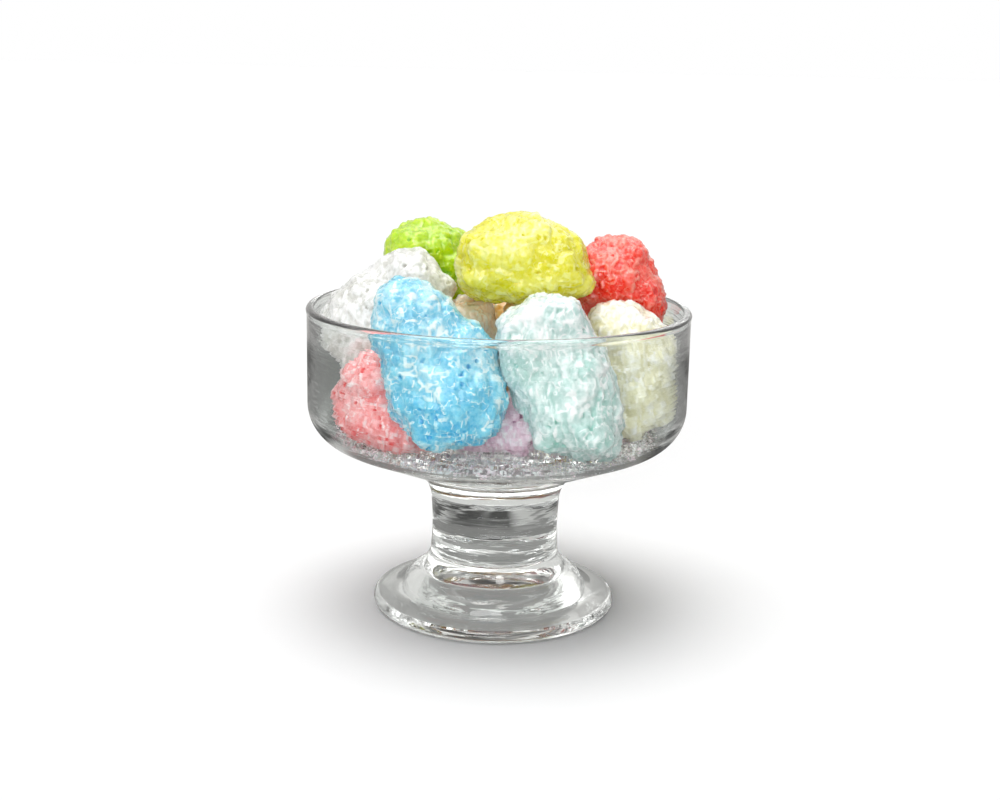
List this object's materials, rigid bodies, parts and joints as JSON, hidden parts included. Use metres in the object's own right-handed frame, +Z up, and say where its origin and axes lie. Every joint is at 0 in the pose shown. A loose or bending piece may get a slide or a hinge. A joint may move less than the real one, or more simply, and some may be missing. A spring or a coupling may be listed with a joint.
{
  "type": "gummy bears in a footed glass bowl",
  "caption": "Heap of puffed, freeze-dried gummy bears in pale and bright colours, resting in a clear footed glass dessert bowl with a solid stem.",
  "frame": {"origin": "centre of the foot's underside, on the surface that the bowl stands on", "axes": "+Z up along the bowl's axis, -Y towards the picture's view, +X to its right"},
  "size_m": [0.1052, 0.1052, 0.1117],
  "materials": {
    "clear_glass": "clear, fire-polished",
    "foam_blue": "glossy sugar foam",
    "foam_mint": "glossy sugar foam",
    "foam_yellow": "glossy sugar foam",
    "foam_lime": "glossy sugar foam",
    "foam_red": "glossy sugar foam",
    "foam_white": "glossy sugar foam",
    "foam_cream": "glossy sugar foam",
    "foam_peach": "glossy sugar foam",
    "foam_orange": "glossy sugar foam",
    "foam_pink": "glossy sugar foam",
    "foam_mauve": "glossy sugar foam"
  },
  "bodies": {
    "root": {"glass_bowl": "clear_glass", "bear_blue": "foam_blue", "bear_mint": "foam_mint", "bear_yellow": "foam_yellow", "bear_lime": "foam_lime", "bear_red": "foam_red", "bear_white": "foam_white", "bear_cream": "foam_cream", "bear_peach": "foam_peach", "bear_orange": "foam_orange", "bear_pink": "foam_pink", "bear_mauve": "foam_mauve", "bear_back_left": "foam_pink", "bear_back_right": "foam_yellow", "bear_back_middle": "foam_orange"}
  },
  "joints": []
}
